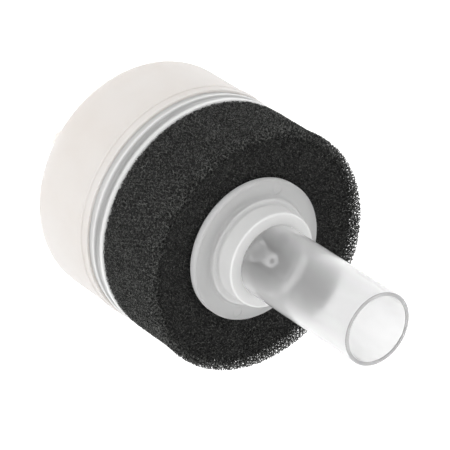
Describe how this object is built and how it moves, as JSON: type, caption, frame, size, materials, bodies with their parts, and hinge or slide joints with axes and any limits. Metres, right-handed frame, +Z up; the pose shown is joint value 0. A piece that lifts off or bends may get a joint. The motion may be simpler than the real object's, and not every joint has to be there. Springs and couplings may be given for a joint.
{
  "type": "aquarium sponge filter",
  "caption": "Round aquarium sponge filter: dark open-pore foam ring over a frosted cup of ceramic media, with a flanged cap and an upright clear lift tube.",
  "frame": {"origin": "middle of the ground plane under the cup's feet, on the axis of the cup, sponge and tube", "axes": "+Z up along the lift tube, from the cup to the tube's mouth; +X and +Y pass through two neighbouring feet"},
  "size_m": [0.0672, 0.0672, 0.108],
  "materials": {
    "cup_plastic": "satin",
    "lid_plastic": "satin",
    "cap_plastic": "satin",
    "core_plastic": "satin",
    "nozzle_plastic": "satin",
    "tube_plastic": "satin",
    "foam": "matte",
    "ceramic": "matte"
  },
  "bodies": {
    "cup": {"media_cup": "cup_plastic", "ceramic_ring_01": "ceramic", "ceramic_ring_02": "ceramic", "ceramic_ring_03": "ceramic", "ceramic_ring_04": "ceramic", "ceramic_ring_05": "ceramic", "ceramic_ring_06": "ceramic", "ceramic_ring_07": "ceramic", "ceramic_ring_08": "ceramic", "ceramic_ring_09": "ceramic", "ceramic_ring_10": "ceramic", "ceramic_ring_11": "ceramic", "ceramic_ring_12": "ceramic", "ceramic_ring_13": "ceramic", "ceramic_ring_14": "ceramic", "ceramic_ring_15": "ceramic", "ceramic_ring_16": "ceramic", "ceramic_ring_17": "ceramic", "ceramic_ring_18": "ceramic", "ceramic_ring_19": "ceramic", "ceramic_ring_20": "ceramic", "ceramic_ring_21": "ceramic", "ceramic_ring_22": "ceramic", "ceramic_ring_23": "ceramic", "ceramic_ring_24": "ceramic"},
    "lid": {"cup_lid": "lid_plastic", "strainer_core": "core_plastic"},
    "foam": {"sponge": "foam"},
    "cap": {"top_cap": "cap_plastic", "air_nozzle": "nozzle_plastic"},
    "tube": {"lift_tube": "tube_plastic"}
  },
  "joints": [
    {"name": "lid_lift", "type": "slide", "parent": "cup", "child": "lid", "axis": [0, 0, 1], "range_m": [0, 0.02]},
    {"name": "sponge_lift", "type": "slide", "parent": "lid", "child": "foam", "axis": [0, 0, 1], "range_m": [0, 0.024]},
    {"name": "cap_lift", "type": "slide", "parent": "foam", "child": "cap", "axis": [0, 0, 1], "range_m": [0, 0.012]},
    {"name": "tube_lift", "type": "slide", "parent": "cap", "child": "tube", "axis": [0, 0, 1], "range_m": [0, 0.014]}
  ]
}
